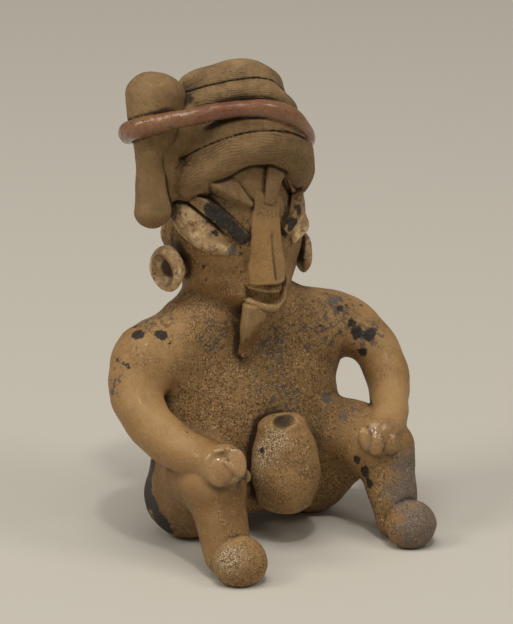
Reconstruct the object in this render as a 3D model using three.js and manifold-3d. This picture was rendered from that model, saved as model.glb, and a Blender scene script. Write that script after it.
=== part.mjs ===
// A hand-modelled seated figure of solid fired clay, 140 mm tall, with a wound turban, an
// ear spool at each side and a barrel-shaped lump between the knees.
// Everything is one piece of clay: coils and pellets pressed together, then cut with a tool.
// Millimetres, +Z up. The figure faces -Y, its own left is +X, and it stands on z = 0.
import * as THREE from "three";
import { mergeVertices } from "three/addons/utils/BufferGeometryUtils.js";
import Module from "manifold-3d";

// Driving dimensions
const HIP = [20, -1, 12]; // middle of the left hip; the right one is its mirror image
const HIP_R = 13;
const KNEE = [28.5, -28, 25];
const KNEE_R = 9;
const SHIN_R = 7.3;
const FOOT = [28.7, -43, 6.1];
const FOOT_R = [7.4, 7, 6.8];
const TRUNK_Z = 10; // underside and top of the trunk's coil
const NECK_Z = 74;
const HEAD_Y = 5;
const TURBAN_R = 22;
const BAND_R = 2.7; // the round coil tied over the turban
const RIM_R = 1.3; // the raised rim under the mouth
const NAIL_CUT_R = 0.5;
const CLAY = new THREE.Color(0x9a7550);

const wasm = await Module();
wasm.setup();

// A closed three.js geometry as a solid that can be joined and cut.
function solid(geometry) {
  geometry.deleteAttribute("uv");
  geometry.deleteAttribute("normal");
  const merged = mergeVertices(geometry, 1e-4);
  const corners = merged.index.array;
  const kept = [];
  for (let i = 0; i < corners.length; i += 3) {
    const [a, b, c] = corners.slice(i, i + 3);
    if (a !== b && b !== c && c !== a) kept.push(a, b, c);
  }
  return new wasm.Manifold(
    new wasm.Mesh({
      numProp: 3,
      vertProperties: new Float32Array(merged.attributes.position.array),
      triVerts: new Uint32Array(kept),
    }),
  );
}

const vector = (p) => new THREE.Vector3(...p);
const radians = THREE.MathUtils.degToRad;
const smooth = (points) => new THREE.CatmullRomCurve3(points.map(vector), false, "catmullrom", 0.5);

// A coil of clay: a capsule bent along a smooth line through the given stations. Each station is
// [x, y, z, half width, half depth], the width lying along "side" and the depth across it.
function coil(stations, options = {}) {
  const { side = [1, 0, 0], sides = 12, steps = 7, blunt = 1 } = options;
  const caps = sides > 8 ? 3 : 2;
  const line = smooth(stations.map((s) => s.slice(0, 3)));
  const sizes = smooth(stations.map((s) => [s[3], s[4] ?? s[3], 0]));
  const geometry = new THREE.CapsuleGeometry(1, 1, caps, sides, steps);
  const at = geometry.attributes.position;
  const reference = vector(side);
  for (let i = 0; i < at.count; i++) {
    const y = at.getY(i);
    const t = THREE.MathUtils.clamp(y + 0.5, 0, 1);
    const centre = line.getPoint(t);
    const along = line.getTangent(t);
    const size = sizes.getPoint(t);
    const across = reference.clone().addScaledVector(along, -reference.dot(along)).normalize();
    const deep = across.clone().cross(along);
    const beyond = (y + 0.5 - t) * Math.min(size.x, size.y) * blunt;
    centre.addScaledVector(along, beyond);
    centre.addScaledVector(across, at.getX(i) * size.x);
    centre.addScaledVector(deep, at.getZ(i) * size.y);
    at.setXYZ(i, ...centre);
  }
  return solid(geometry);
}

// A closed wrap of the turban: a ring with its outer radius, its height and the way it leans, in
// degrees. "arch" lets both sides hang, and "swell" and "drop" take it round the side knot.
function wrap({ centre, back, left, radius, thick, tall, arch = 0, swell = 0, drop = 0 }) {
  const geometry = new THREE.TorusGeometry(10, 1, 8, 22);
  const at = geometry.attributes.position;
  for (let i = 0; i < at.count; i++) {
    const turn = Math.atan2(at.getY(i), at.getX(i));
    const out = Math.hypot(at.getX(i), at.getY(i)) - 10;
    const knot = Math.max(0, -Math.cos(turn)) ** 6;
    const reach = radius - thick + swell * knot + out * thick;
    const height = at.getZ(i) * tall - drop * knot - arch * Math.cos(turn) ** 2;
    at.setXYZ(i, Math.cos(turn) * reach, Math.sin(turn) * reach, height);
  }
  const axis = vector([Math.sin(radians(left)), Math.sin(radians(back)), 0]);
  axis.z = Math.sqrt(1 - axis.lengthSq());
  geometry.applyQuaternion(new THREE.Quaternion().setFromUnitVectors(vector([0, 0, 1]), axis));
  geometry.translate(...centre);
  return solid(geometry);
}

// An egg of clay, turned by Euler angles in degrees.
function pellet([x, y, z], [rx, ry, rz], turn = [0, 0, 0], sides = 12, rows = 8) {
  const geometry = new THREE.SphereGeometry(1, sides, rows);
  geometry.rotateX(Math.PI / 2);
  geometry.scale(rx, ry, rz);
  const euler = new THREE.Euler(...turn.map(radians));
  geometry.applyMatrix4(new THREE.Matrix4().makeRotationFromEuler(euler));
  geometry.translate(x, y, z);
  return solid(geometry);
}

const join = (pieces) => pieces.reduce((whole, piece) => whole.add(piece));

function torso() {
  const trunk = coil(
    [
      [0, 0, TRUNK_Z, 26, 13],
      [0, 0, 20, 29, 15.5],
      [0, 1, 32, 31, 15],
      [0, 3, 43, 31, 13],
      [0, 4.5, 52, 30, 11],
      [0, 5, 60, 24, 10],
      [0, 5, 68, 17, 10],
      [0, 5, NECK_Z, 14.5, 10],
    ],
    { sides: 16, steps: 10, blunt: 0.5 },
  );
  const yoke = coil(
    [
      [-30, 4, 54, 8.4],
      [-16, 5, 58.5, 8],
      [0, 5, 61, 8.5],
      [16, 5, 58.4, 8.2],
      [30, 4, 53.6, 8.6],
    ],
    { side: [0, 0, 1], steps: 8 },
  );
  return trunk.add(yoke);
}

function leg(s) {
  const [hipX, hipY, hipZ] = HIP;
  const [kneeX, kneeY, kneeZ] = KNEE;
  const thigh = coil(
    [
      [s * hipX, hipY, hipZ, HIP_R, HIP_R],
      [s * 25, -14, 22.5, 10.5, 12],
      [s * kneeX, kneeY, kneeZ, KNEE_R, KNEE_R],
    ],
    { sides: 14, steps: 6 },
  );
  const shin = coil(
    [
      [s * kneeX, kneeY - 1, kneeZ - 1, SHIN_R + 0.7, SHIN_R],
      [s * kneeX, -33, 15, SHIN_R, SHIN_R - 0.3],
      [s * kneeX, -36, 6, SHIN_R - 0.8, SHIN_R - 1.3],
    ],
    { steps: 4 },
  );
  const foot = pellet([s * FOOT[0], FOOT[1], FOOT[2]], FOOT_R, [15, 0, 0], 12, 8);
  return join([thigh, shin, foot]);
}

function rightArm() {
  return coil(
    [
      [-28, 4, 54.5, 8],
      [-35, 1, 52, 7.8],
      [-38.2, -3, 44.5, 7.2],
      [-37.8, -10, 38.6, 6.6],
      [-35, -20, 34.2, 6.2],
      [-30, -30, 31.5, 6],
    ],
    { steps: 13 },
  );
}

function leftArm() {
  return coil(
    [
      [28, 4, 54, 9.2],
      [36, 1, 52.5, 8.2],
      [40.4, -6, 47.5, 6.9],
      [40.3, -13, 41, 6.1],
      [35.4, -22, 34.5, 5.7],
      [28, -31, 31, 5.2],
    ],
    { steps: 13 },
  );
}

// A hand is a pressed lump with a thumb, and fingers marked by a cut.
function hand(s, [x, y, z], radii) {
  const palm = pellet([x, y, z], radii, [25, 0, s * 15], 12, 8);
  const thumb = pellet([x - s * 5.4, y + 1.4, z + 0.8], [2.2, 3.4, 2.6], [0, 0, 0], 8, 6);
  const cut = coil(
    [
      [x, y - 5, z + 5, NAIL_CUT_R],
      [x, y - 5.6, z - 3, NAIL_CUT_R],
    ],
    { sides: 6, steps: 2 },
  );
  return { lump: join([palm, thumb]), cut };
}

function barrel() {
  const body = coil(
    [
      [0, -21, 13.3, 7.5, 8],
      [0, -21.5, 19.5, 9.6, 9.8],
      [0, -21, 27.4, 9, 9.2],
      [0, -20, 34.3, 6.6, 6.8],
    ],
    { sides: 16, steps: 6, blunt: 0.55 },
  );
  const pit = pellet([0, -20.5, 38.8], [4.2, 3.4, 2.4], [0, 0, 0], 10, 4);
  return body.subtract(pit);
}

function head() {
  const skull = coil(
    [
      [-0.5, HEAD_Y - 1, 76, 17.5, 14],
      [-0.6, HEAD_Y, 85, 20.3, 15.5],
      [-1.8, HEAD_Y, 98, 18.2, 15],
      [-1.5, HEAD_Y, 112, 15, 13],
    ],
    { sides: 16, steps: 6, blunt: 0.7 },
  );
  const nose = coil(
    [
      [0.3, -5.5, 99, 2.4, 4],
      [-0.2, -8, 89, 3.6, 5.2],
      [-1.2, -8.5, 76, 5, 5],
    ],
    { sides: 10, steps: 5, blunt: 0.35 },
  );
  const jaw = pellet([0.5, -3, 71], [7.5, 7.5, 5]);
  const mouth = pellet([0.3, -11, 70.8], [4.6, 3, 1.6], [0, 0, 0], 10, 6);
  const rim = coil(
    [
      [-6, -7.5, 69.5, RIM_R],
      [-3.2, -10.2, 67.6, RIM_R],
      [0.5, -11.2, 66.8, RIM_R],
      [4.6, -9.8, 67.3, RIM_R],
      [7.8, -7, 69.8, RIM_R],
    ],
    { sides: 6, steps: 6 },
  );
  const beard = coil(
    [
      [-2.3, -10, 66.5, 3.6, 1.6],
      [-3.8, -8.6, 60, 2.9, 1.6],
      [-5.2, -7.6, 53.6, 2, 1.5],
    ],
    { sides: 8, steps: 3 },
  );
  return join([skull, nose, jaw]).subtract(mouth).add(rim).add(beard);
}

// Strands of clay lying over the brow under the turban.
function brow() {
  const broad = coil(
    [
      [-13.5, -5, 105.5, 3, 2.2],
      [-9.5, -7.8, 102.5, 2.8, 2.2],
      [-4.8, -9.4, 97.6, 0.9, 1.2],
    ],
    { sides: 8, steps: 5 },
  );
  const narrow = coil(
    [
      [3.7, -9.2, 107, 2.4, 2.2],
      [1.6, -9.4, 99.6, 2.1, 2],
    ],
    { sides: 8, steps: 3 },
  );
  const temple = coil(
    [
      [9.4, -7.2, 104, 1.4],
      [12.1, -6, 98.5, 1.2],
    ],
    { sides: 6, steps: 3, caps: 2 },
  );
  return join([broad, narrow, temple]);
}

// Each eye is a trough between two lids, both coils that slope down towards the nose.
function eye(s, reach) {
  const upper = coil(
    [
      [s * 20.9 * reach, 2.7, 98.9, 2],
      [s * 16.6 * reach, -4.6, 98, 2.2],
      [s * 12, -7.6, 93.7, 2.1],
      [s * 6.9, -9.4, 88.4, 1.7],
    ],
    { sides: 8, steps: 5 },
  );
  const lower = coil(
    [
      [s * 21.1 * reach, 4.6, 94.7, 1.6],
      [s * 19.8 * reach, -0.2, 90.1, 1.8],
      [s * 16.2, -4.8, 86.3, 1.8],
      [s * 11.5, -8, 84.3, 1.3],
    ],
    { sides: 8, steps: 5 },
  );
  return join([upper, lower]);
}

function earSpool([x, y, z], tall, turn) {
  const disc = pellet([x, y, z], [2.2, 6.3, tall], [0, 0, turn], 12, 6);
  const dish = pellet([x * 1.09, y - 0.5, z], [1.3, 2.6, 3], [0, 0, turn], 8, 4);
  const stem = pellet([x * 0.82, y + 1, z], [5, 3.5, 3.5], [0, 0, 0], 6, 4);
  return disc.subtract(dish).add(stem);
}

function turban() {
  const radius = TURBAN_R;
  return join([
    wrap({ centre: [0, 5, 108.2], back: 29, left: 10.3, radius, thick: 7, tall: 5.7, arch: 5.9 }),
    wrap({ centre: [0, 5, 112.7], back: 27, left: 11, radius: radius - 0.6, thick: 7, tall: 3.5, arch: 4 }),
    wrap({
      centre: [0, 5, 116.9],
      back: 23.5,
      left: 19,
      radius: radius + 0.5,
      thick: BAND_R,
      tall: BAND_R,
      arch: 4.2,
      swell: 15,
      drop: 4.5,
    }),
    wrap({ centre: [0, 8, 122.5], back: 23, left: 13, radius: 18.5, thick: 8, tall: 5, arch: 3 }),
    wrap({ centre: [0, 9, 128.6], back: 24, left: 10, radius: 15, thick: 8, tall: 5.4, arch: 1.8 }),
    pellet([0, 6, 116], [16, 15, 15], [0, 0, 0], 10, 6),
  ]);
}

function knot() {
  return coil(
    [
      [-26.4, 5, 129.3, 8.6, 6.5],
      [-28, 4, 119, 7.4, 6.2],
      [-30, 2.5, 110, 4, 4],
      [-29.5, 2, 97, 5.4, 4.8],
    ],
    { steps: 10 },
  );
}

function figure() {
  const right = hand(-1, [-28, -34, 31], [6.6, 4.5, 6.6]);
  const left = hand(1, [24.2, -34.6, 29.6], [5.8, 4.2, 6.6]);
  const clay = join([
    torso(),
    leg(-1),
    leg(1),
    rightArm(),
    leftArm(),
    right.lump,
    left.lump,
    barrel(),
    head(),
    eye(-1, 1),
    eye(1, 0.87),
    brow(),
    earSpool([-24.3, 4, 78.6], 6.8, 20),
    earSpool([21.7, 4, 76.5], 6.5, -20),
    turban(),
    knot(),
  ]);
  const floor = new THREE.BoxGeometry(300, 300, 50);
  floor.translate(0, 0, -25);
  const flat = clay.subtract(solid(floor)).subtract(right.cut).subtract(left.cut);
  const { min, max } = flat.boundingBox();
  return flat.translate([-(min[0] + max[0]) / 2, -(min[1] + max[1]) / 2, 0]);
}

function meshOf(name, made, colour) {
  const { vertProperties, triVerts } = made.getMesh();
  const geometry = new THREE.BufferGeometry();
  geometry.setAttribute("position", new THREE.BufferAttribute(vertProperties, 3));
  geometry.setIndex(new THREE.BufferAttribute(triVerts, 1));
  geometry.computeVertexNormals();
  const mesh = new THREE.Mesh(
    geometry,
    new THREE.MeshStandardMaterial({ color: colour, roughness: 0.8, metalness: 0 }),
  );
  mesh.name = name;
  return mesh;
}

const group = new THREE.Group();
group.add(meshOf("seated_figure", figure(), CLAY));
export default group;
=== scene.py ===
# %% [markdown]
# # A seated figure pressed together from coils of clay
#
# The real object is one lump of fired clay, a little shorter than a hand is long. Its maker rolled
# coils and pellets, pressed them together, drew a comb over the turban and smoothed the rest
# with a wet finger. This script does the same with numbers: every coil and pellet is a formula
# for the distance to its surface, neighbours are melted together, and a fine mesh is drawn
# where that distance is zero. The plain solid in the frame has nearly the same lumps, so they fit.

# %% The frame
import math

import bpy
import numpy as np
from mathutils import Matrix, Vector


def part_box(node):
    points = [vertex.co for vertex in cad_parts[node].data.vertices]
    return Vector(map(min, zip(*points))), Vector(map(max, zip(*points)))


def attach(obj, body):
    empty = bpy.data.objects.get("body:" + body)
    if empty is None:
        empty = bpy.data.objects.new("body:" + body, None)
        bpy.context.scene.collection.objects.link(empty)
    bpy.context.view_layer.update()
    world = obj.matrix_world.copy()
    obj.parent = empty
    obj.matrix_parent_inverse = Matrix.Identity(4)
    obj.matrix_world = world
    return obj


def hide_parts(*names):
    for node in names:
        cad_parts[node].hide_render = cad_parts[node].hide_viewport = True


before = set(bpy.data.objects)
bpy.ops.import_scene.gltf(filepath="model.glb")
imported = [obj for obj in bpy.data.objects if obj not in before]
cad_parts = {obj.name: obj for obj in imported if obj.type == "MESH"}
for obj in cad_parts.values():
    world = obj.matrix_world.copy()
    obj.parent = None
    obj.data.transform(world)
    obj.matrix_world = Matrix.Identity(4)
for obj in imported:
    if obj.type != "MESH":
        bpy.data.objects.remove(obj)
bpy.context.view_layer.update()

MM = 0.001
FIGURE_AT = np.array([-1.0037, 12.1641, 0.0])  # the point between the hips, from the frame's origin

# %% [markdown]
# ## Coils
#
# A rolled coil follows a smooth line and has a width and a depth at each point of it. It could
# be a curve object with a bevel, but bevelled curves only touch where they meet, and here the
# joins have to melt into each other. So a coil is kept as a distance: less than zero inside the
# clay, zero on its skin.


# %% A smooth line and a coil along it
def smooth_line(points, t):
    """Points on an even Catmull-Rom line, with t running from 0 to 1."""
    points = np.asarray(points, float)
    points = np.vstack([2 * points[0] - points[1], points, 2 * points[-1] - points[-2]])
    spans = len(points) - 3
    place = np.clip(t * spans, 0, spans - 1e-9)
    i = place.astype(int)
    w = (place - i)[:, None]
    a, b, c, d = (points[i + k] for k in range(4))
    start, end = (c - a) / 2, (d - b) / 2
    return (2 * b - 2 * c + start + end) * w**3 + (3 * c - 3 * b - 2 * start - end) * w**2 + start * w + b


def unit(v):
    return v / np.maximum(np.linalg.norm(v, axis=-1, keepdims=True), 1e-9)


def egg_distance(a, b, c, width, depth, length):
    """Distance to an egg with these half sizes, close to its skin."""
    k = np.sqrt((a / width) ** 2 + (b / depth) ** 2 + (c / length) ** 2)
    slope = np.sqrt((a / width**2) ** 2 + (b / depth**2) ** 2 + (c / length**2) ** 2)
    return (k - 1) * k / np.maximum(slope, 1e-6)


def bar_distance(a, b, c, width, depth, length, edge):
    """Distance to a bar with these half sizes and rounded edges."""
    q = np.abs([a, b, c]) - (np.stack(np.broadcast_arrays(width, depth, length)) - edge)
    return np.linalg.norm(np.maximum(q, 0), axis=0) + np.minimum(q.max(0), 0) - edge


class Coil:
    """Stations are [x, y, z, half width, half depth] in millimetres. A coil with an edge is a flat bar."""

    def __init__(self, stations, side=(1, 0, 0), blunt=1.0, edge=None, steps=48, line=None, radius=None):
        t = np.linspace(0, 1, steps + 1)
        if line is None:
            table = np.array([list(s) + [s[3]] * (5 - len(s)) for s in stations], float)
            line = smooth_line(table[:, :3], t)
            size = smooth_line(table[:, 3:], t)
        else:
            size = np.repeat([[radius, radius]], len(line), axis=0)
        self.line, self.size, self.blunt, self.edge = line, size, blunt, edge
        self.along = unit(np.gradient(line, axis=0))
        side = np.array(side, float)
        self.across = unit(side - self.along * (self.along @ side)[:, None])
        self.deep = np.cross(self.across, self.along)
        self.step = np.linalg.norm(np.diff(line, axis=0), axis=1).mean()
        self.low = (line - size.max()).min(0)
        self.high = (line + size.max()).max(0)

    def place(self, p):
        """Where along the coil each point lies, as a station number with a fraction."""
        nearest = np.argmin((self.line**2).sum(1) - 2 * p @ self.line.T, axis=1)
        ahead = ((p - self.line[nearest]) * self.along[nearest]).sum(1) / self.step
        return np.clip(nearest + ahead, 0, len(self.line) - 1)

    def __call__(self, p):
        place = self.place(p)
        i = np.minimum(place.astype(int), len(self.line) - 2)
        w = (place - i)[:, None]
        at = lambda table: table[i] * (1 - w) + table[i + 1] * w
        off = p - at(self.line)
        a, b, c = ((off * at(v)).sum(1) for v in (self.across, self.deep, self.along))
        width, depth = at(self.size).T
        end = np.minimum(width, depth) * self.blunt
        if self.edge:
            return bar_distance(a, b, c, width, depth, end, self.edge)
        return egg_distance(a, b, c, width, depth, end)


# %% [markdown]
# ## Pellets and wraps
#
# A pellet is an egg of clay. A wrap of the turban is a ring that leans back, hangs at both
# sides, and steps out where the knot pushes it. A ring could be a torus with a bend modifier,
# but as a formula it also tells every point how far round the roll it lies, which the comb
# marks need later.


# %% Pellets and wraps
def turn_about(x, y, z):
    """The rotation for Euler angles in degrees, x last."""
    x, y, z = (math.radians(v) for v in (x, y, z))
    rx = np.array([[1, 0, 0], [0, math.cos(x), -math.sin(x)], [0, math.sin(x), math.cos(x)]])
    ry = np.array([[math.cos(y), 0, math.sin(y)], [0, 1, 0], [-math.sin(y), 0, math.cos(y)]])
    rz = np.array([[math.cos(z), -math.sin(z), 0], [math.sin(z), math.cos(z), 0], [0, 0, 1]])
    return rx @ ry @ rz


class Pellet:
    def __init__(self, centre, radii, turn=(0, 0, 0)):
        self.centre, self.radii = np.array(centre, float), radii
        self.turn = turn_about(*turn)
        self.low, self.high = self.centre - max(radii), self.centre + max(radii)

    def __call__(self, p):
        return egg_distance(*((p - self.centre) @ self.turn).T, *self.radii)


class Wrap:
    def __init__(self, centre, back, left, radius, thick, tall, arch=0.0, swell=0.0, drop=0.0):
        self.centre = np.array(centre, float)
        axis = np.array([math.sin(math.radians(left)), math.sin(math.radians(back)), 0.0])
        axis[2] = math.sqrt(1 - axis @ axis)
        up = np.array([0.0, 0.0, 1.0])
        v = np.cross(up, axis)
        skew = np.array([[0, -v[2], v[1]], [v[2], 0, -v[0]], [-v[1], v[0], 0]])
        self.turn = np.eye(3) + skew + skew @ skew / (1 + axis[2])
        self.radius, self.thick, self.tall = radius, thick, tall
        self.arch, self.swell, self.drop = arch, swell, drop
        reach = radius + swell + tall
        self.low, self.high = self.centre - reach, self.centre + reach

    def middle(self, turn):
        """Radius and height of the roll's middle at an angle round the ring."""
        knot = np.maximum(0, -np.cos(turn)) ** 6
        reach = self.radius - self.thick + self.swell * knot
        return reach, -self.drop * knot - self.arch * np.cos(turn) ** 2

    def local(self, p):
        q = (p - self.centre) @ self.turn
        turn = np.arctan2(q[:, 1], q[:, 0])
        reach, height = self.middle(turn)
        return turn, np.hypot(q[:, 0], q[:, 1]) - reach, q[:, 2] - height

    def __call__(self, p):
        _, out, rise = self.local(p)
        return egg_distance(out, rise, 0 * out, self.thick, self.tall, 1.0)

    def middle_line(self, steps=120):
        turn = np.linspace(-math.pi, math.pi, steps + 1)
        reach, height = self.middle(turn)
        ring = np.stack([np.cos(turn) * reach, np.sin(turn) * reach, height], 1)
        return ring @ self.turn.T + self.centre


# %% [markdown]
# ## The lumps
#
# These are the lumps of the solid model, some of them finer, in millimetres from the point
# between the hips: +Z is up, the figure faces -Y and its own left is +X. Both legs are nearly
# alike; the arms, the hands and the turban are not, because a hand made them.

# %% Trunk, legs and arms
HIP, HIP_R = (20, -1, 12), 13
KNEE, KNEE_R = (28.5, -28, 25), 9
SHIN_R = 7.3
FOOT, FOOT_R = (28.7, -43, 6.1), (7.4, 7, 6.8)
HEAD_Y = 5

LUMPS = {
    "trunk": Coil(
        [[0, 0, 10, 26, 13], [0, 0, 20, 29, 15.5], [0, 1, 32, 31, 15], [0, 3, 43, 31, 13],
         [0, 4.5, 52, 30, 11], [0, 5, 60, 24, 10], [0, 5, 68, 17, 10], [0, 5, 74, 14.5, 10]],
        blunt=0.5,
    ),
    "yoke": Coil(
        [[-30, 4, 54, 8.4], [-16, 5, 58.5, 8], [0, 5, 61, 8.5], [16, 5, 58.4, 8.2], [30, 4, 53.6, 8.6]],
        side=(0, 0, 1),
    ),
    "arm_right": Coil(
        [[-28, 4, 54.5, 8], [-35, 1, 52, 7.8], [-38.2, -3, 44.5, 7.2],
         [-37.8, -10, 38.6, 6.6], [-35, -20, 34.2, 6.2], [-30, -30, 31.5, 6]]
    ),
    "arm_left": Coil(
        [[28, 4, 54, 9.2], [36, 1, 52.5, 8.2], [40.4, -6, 47.5, 6.9],
         [40.3, -13, 41, 6.1], [35.4, -22, 34.5, 5.7], [28, -31, 31, 5.2]]
    ),
}
for side, s in (("right", -1), ("left", 1)):
    LUMPS["thigh_" + side] = Coil(
        [[s * HIP[0], *HIP[1:], HIP_R], [s * 25.5, -14, 23.5 if s > 0 else 22.5, 10.5, 12],
         [s * KNEE[0], *KNEE[1:], KNEE_R]]
    )
    LUMPS["shin_" + side] = Coil(
        [[s * KNEE[0], KNEE[1] - 1, KNEE[2] - 1, SHIN_R + 0.7, SHIN_R],
         [s * KNEE[0], -33, 15, SHIN_R, SHIN_R - 0.3],
         [s * KNEE[0], -36, 6, SHIN_R - 0.8, SHIN_R - 1.3]]
    )
    LUMPS["foot_" + side] = Pellet([s * FOOT[0], *FOOT[1:]], FOOT_R, (15, 0, 0))
print(len(LUMPS), "lumps in the body")

# %% Hands
PALM_RIGHT = np.array([-28.7, -34, 31.6])
FACE_RIGHT = unit(np.array([-0.36, -0.86, 0.32]))  # the way the flattened end of the right arm faces
FLAT_END = 3.6  # how far from the palm's middle that end is pressed flat
TOWARDS_FACE = (-20, 0, -23)
LUMPS |= {
    "palm_right": Pellet(PALM_RIGHT, [6.4, 6.2, 6.2], TOWARDS_FACE),
    "lobe_right_1": Pellet([-31.2, -36.4, 31.3], [3.9, 1.3, 4.5], TOWARDS_FACE),
    "lobe_right_2": Pellet([-27, -37.9, 33.2], [2.9, 0.9, 4.1], TOWARDS_FACE),
    "ridge_right": Coil([[-30.1, -37.7, 34.1, 0.3], [-28.4, -38.5, 31.8, 0.45], [-27.4, -38.7, 29.9, 0.3]]),
    "fold_right": Coil([[-32, -35.2, 36.9, 0.25], [-30.2, -36.1, 37.2, 0.3]]),
    "nub_right": Pellet([-23.3, -37.8, 29], [1.5, 1.4, 2.1], TOWARDS_FACE),
    "palm_left": Pellet([22.9, -33.4, 30.6], [5.8, 3.5, 5.6], (-17, 0, -25)),
    "lobe_left_1": Pellet([18.3, -34.3, 31.2], [2.3, 2, 4], (-17, 0, -32)),
    "lobe_left_2": Pellet([20.8, -35.9, 29.4], [2.9, 1.7, 3.5], (-17, 0, -32)),
    "lobe_left_3": Pellet([25.4, -36.4, 29.2], [3.5, 2, 3.8], (-17, 0, -25)),
}

# %% Barrel between the knees
LUMPS |= {
    "barrel": Coil(
        [[-0.3, -21, 13.3, 8.2, 8.4], [-0.3, -21.5, 19.5, 10.1, 10],
         [0, -21, 27.4, 9.3, 9.3], [0, -20, 33.6, 7.1, 7]],
        blunt=0.58,
    ),
    "barrel_pit": Pellet([-1.5, -22.8, 37.6], [3.2, 2.5, 2.6], (30, -12, 0)),
    "barrel_chip": Pellet([-4.2, -24.2, 36], [1.7, 1.2, 1.5]),
}

# %% Head, face and ear spools
LUMPS["skull"] = Coil(
    [[-0.5, HEAD_Y - 1, 76, 17.5, 14], [-0.6, HEAD_Y, 85, 20.3, 15.5],
     [-1.8, HEAD_Y, 98, 18.2, 15], [-1.5, HEAD_Y, 112, 15, 13]],
    blunt=0.7,
)
LUMPS["jaw"] = Pellet([0.5, -2.6, 71.6], [11, 8.8, 5])
LUMPS["chin"] = Pellet([0.5, -6.2, 69.4], [7.2, 5.9, 3.1], (-14, 0, 0))
LUMPS["mouth"] = Coil(
    [[-6.4, -10.7, 71.9, 2.7, 2.7], [-3, -12.7, 71.4, 2.8, 3],
     [1, -12.8, 70.7, 2.8, 3.1], [6, -11.7, 71.3, 2.8, 2.8]],
    side=(0, 1, 0), blunt=0.3, edge=0.4,
)
LUMPS["nose_crack"] = Coil([[1, -12.7, 89, 0.2], [0.8, -13.8, 83, 0.3], [1.2, -14.2, 76.4, 0.3]])
LUMPS["mouth_slit"] = Coil(
    [[-4.6, -11.4, 74.4, 0.7, 0.5], [0.5, -12, 73.5, 0.8, 0.5], [4, -11.4, 73.1, 0.6, 0.4]]
)
LUMPS["mouth_corner"] = Pellet([7.2, -9.0, 73.2], [1.1, 1.6, 1.2])
LUMPS["mouth_rim"] = Coil(
    [[-5.9, -10.8, 70, 0.45, 0.6], [-4.4, -11.7, 69, 0.5, 0.7], [-1.4, -12.4, 67.7, 0.5, 0.7],
     [1.8, -12.2, 67.3, 0.5, 0.7], [4.9, -10.9, 68.4, 0.5, 0.7], [8.2, -8.6, 71.3, 0.45, 0.6]],
    side=(0, 0, 1), edge=0.35,
)
LUMPS["upper_lip"] = Coil(
    [[-5.2, -10, 74, 0.4, 0.5], [-1.5, -11.2, 73, 0.5, 0.5],
     [2.5, -11.2, 72.1, 0.5, 0.5], [4.8, -10.2, 72.3, 0.4, 0.4]],
    side=(0, 0, 1), edge=0.25,
)
LUMPS["beard"] = Coil(
    [[-3.9, -11.2, 68, 3.2, 1.5], [-5, -9.9, 61, 2.55, 1.7], [-5.9, -8.5, 53.5, 1.7, 1.7]],
    blunt=0.3, edge=0.5,
)
LUMPS["strand_broad"] = Coil(
    [[-18, -2.2, 111.5, 3.6, 1.3], [-13.5, -5.6, 105.6, 3.3, 1.7],
     [-9.8, -8.2, 102.1, 2.5, 1.8], [-5.1, -10.2, 97.8, 0.7, 1.5]],
    blunt=0.5, edge=0.5,
)
LUMPS["strand_narrow"] = Coil([[4.2, -8.4, 108, 2.9, 1.8], [1, -9.8, 98.8, 1.6, 1.5]], edge=0.5)
LUMPS["strand_temple"] = Coil([[9.4, -7.2, 104, 1.5], [12.1, -6, 98.5, 1.2]], blunt=0.6, edge=0.4)
LUMPS["hair_behind_ear"] = Coil(
    [[-19.4, 8, 91.5, 1.4, 2], [-19.6, 9, 87, 1.9, 3], [-18.6, 9, 82, 1.3, 2]], edge=0.4
)
for side, s, reach in (("right", -1, 1), ("left", 1, 0.87)):
    LUMPS["lid_upper_" + side] = Coil(
        [[s * 19.9 * reach, 2, 102, 2, 1.8], [s * 16.4 * reach, -4.4, 98.4, 2.1, 2.1],
         [s * 11.8, -7.5, 93.6, 2.1, 2.1], [s * 6.9, -9.4, 88.4, 1.9, 1.7]],
        side=(0, 0, 1), blunt=0.5, edge=0.6,
    )
    LUMPS["eye_" + side] = Coil(
        [[s * 20.3 * reach, 3.4, 96.6, 3.4, 2.2], [s * 17.8 * reach, -2, 93.4, 3.6, 2.5],
         [s * 14.4, -5.3, 90, 2.8, 1.9], [s * 9.8, -7.6, 86.6, 1.8, 1.0]],
        side=(0, 0, 1),
    )
    LUMPS["lid_lower_" + side] = Coil(
        [[s * 21.1 * reach, 4.6, 94.9, 1.6], [s * 19.8 * reach, -0.2, 90.6, 1.8],
         [s * 16.2, -4.8, 87, 1.7], [s * 11, -8, 84.8, 1.1]]
    )
for side, out, centre, tall in (("right", -1, (-24.3, 4, 78.6), 6.8), ("left", 1, (21.7, 4, 76.5), 6.5)):
    x, y, z = centre
    turn = (0, 0, -20 * out)
    LUMPS["spool_" + side] = Pellet(centre, [2.3, 6.3, tall], turn)
    LUMPS["spool_stem_" + side] = Pellet([x * 0.82, y + 1, z], [5, 3.6, 3.6])
    LUMPS["spool_dish_" + side] = Pellet([x + out * 2.4, y - 0.7, z], [1.9, 4.4, tall * 0.7], turn)
    LUMPS["spool_pit_" + side] = Pellet([x + out * 1.2, y - 0.4, z - 0.3], [2.2, 4.1, tall * 0.63], turn)

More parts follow.
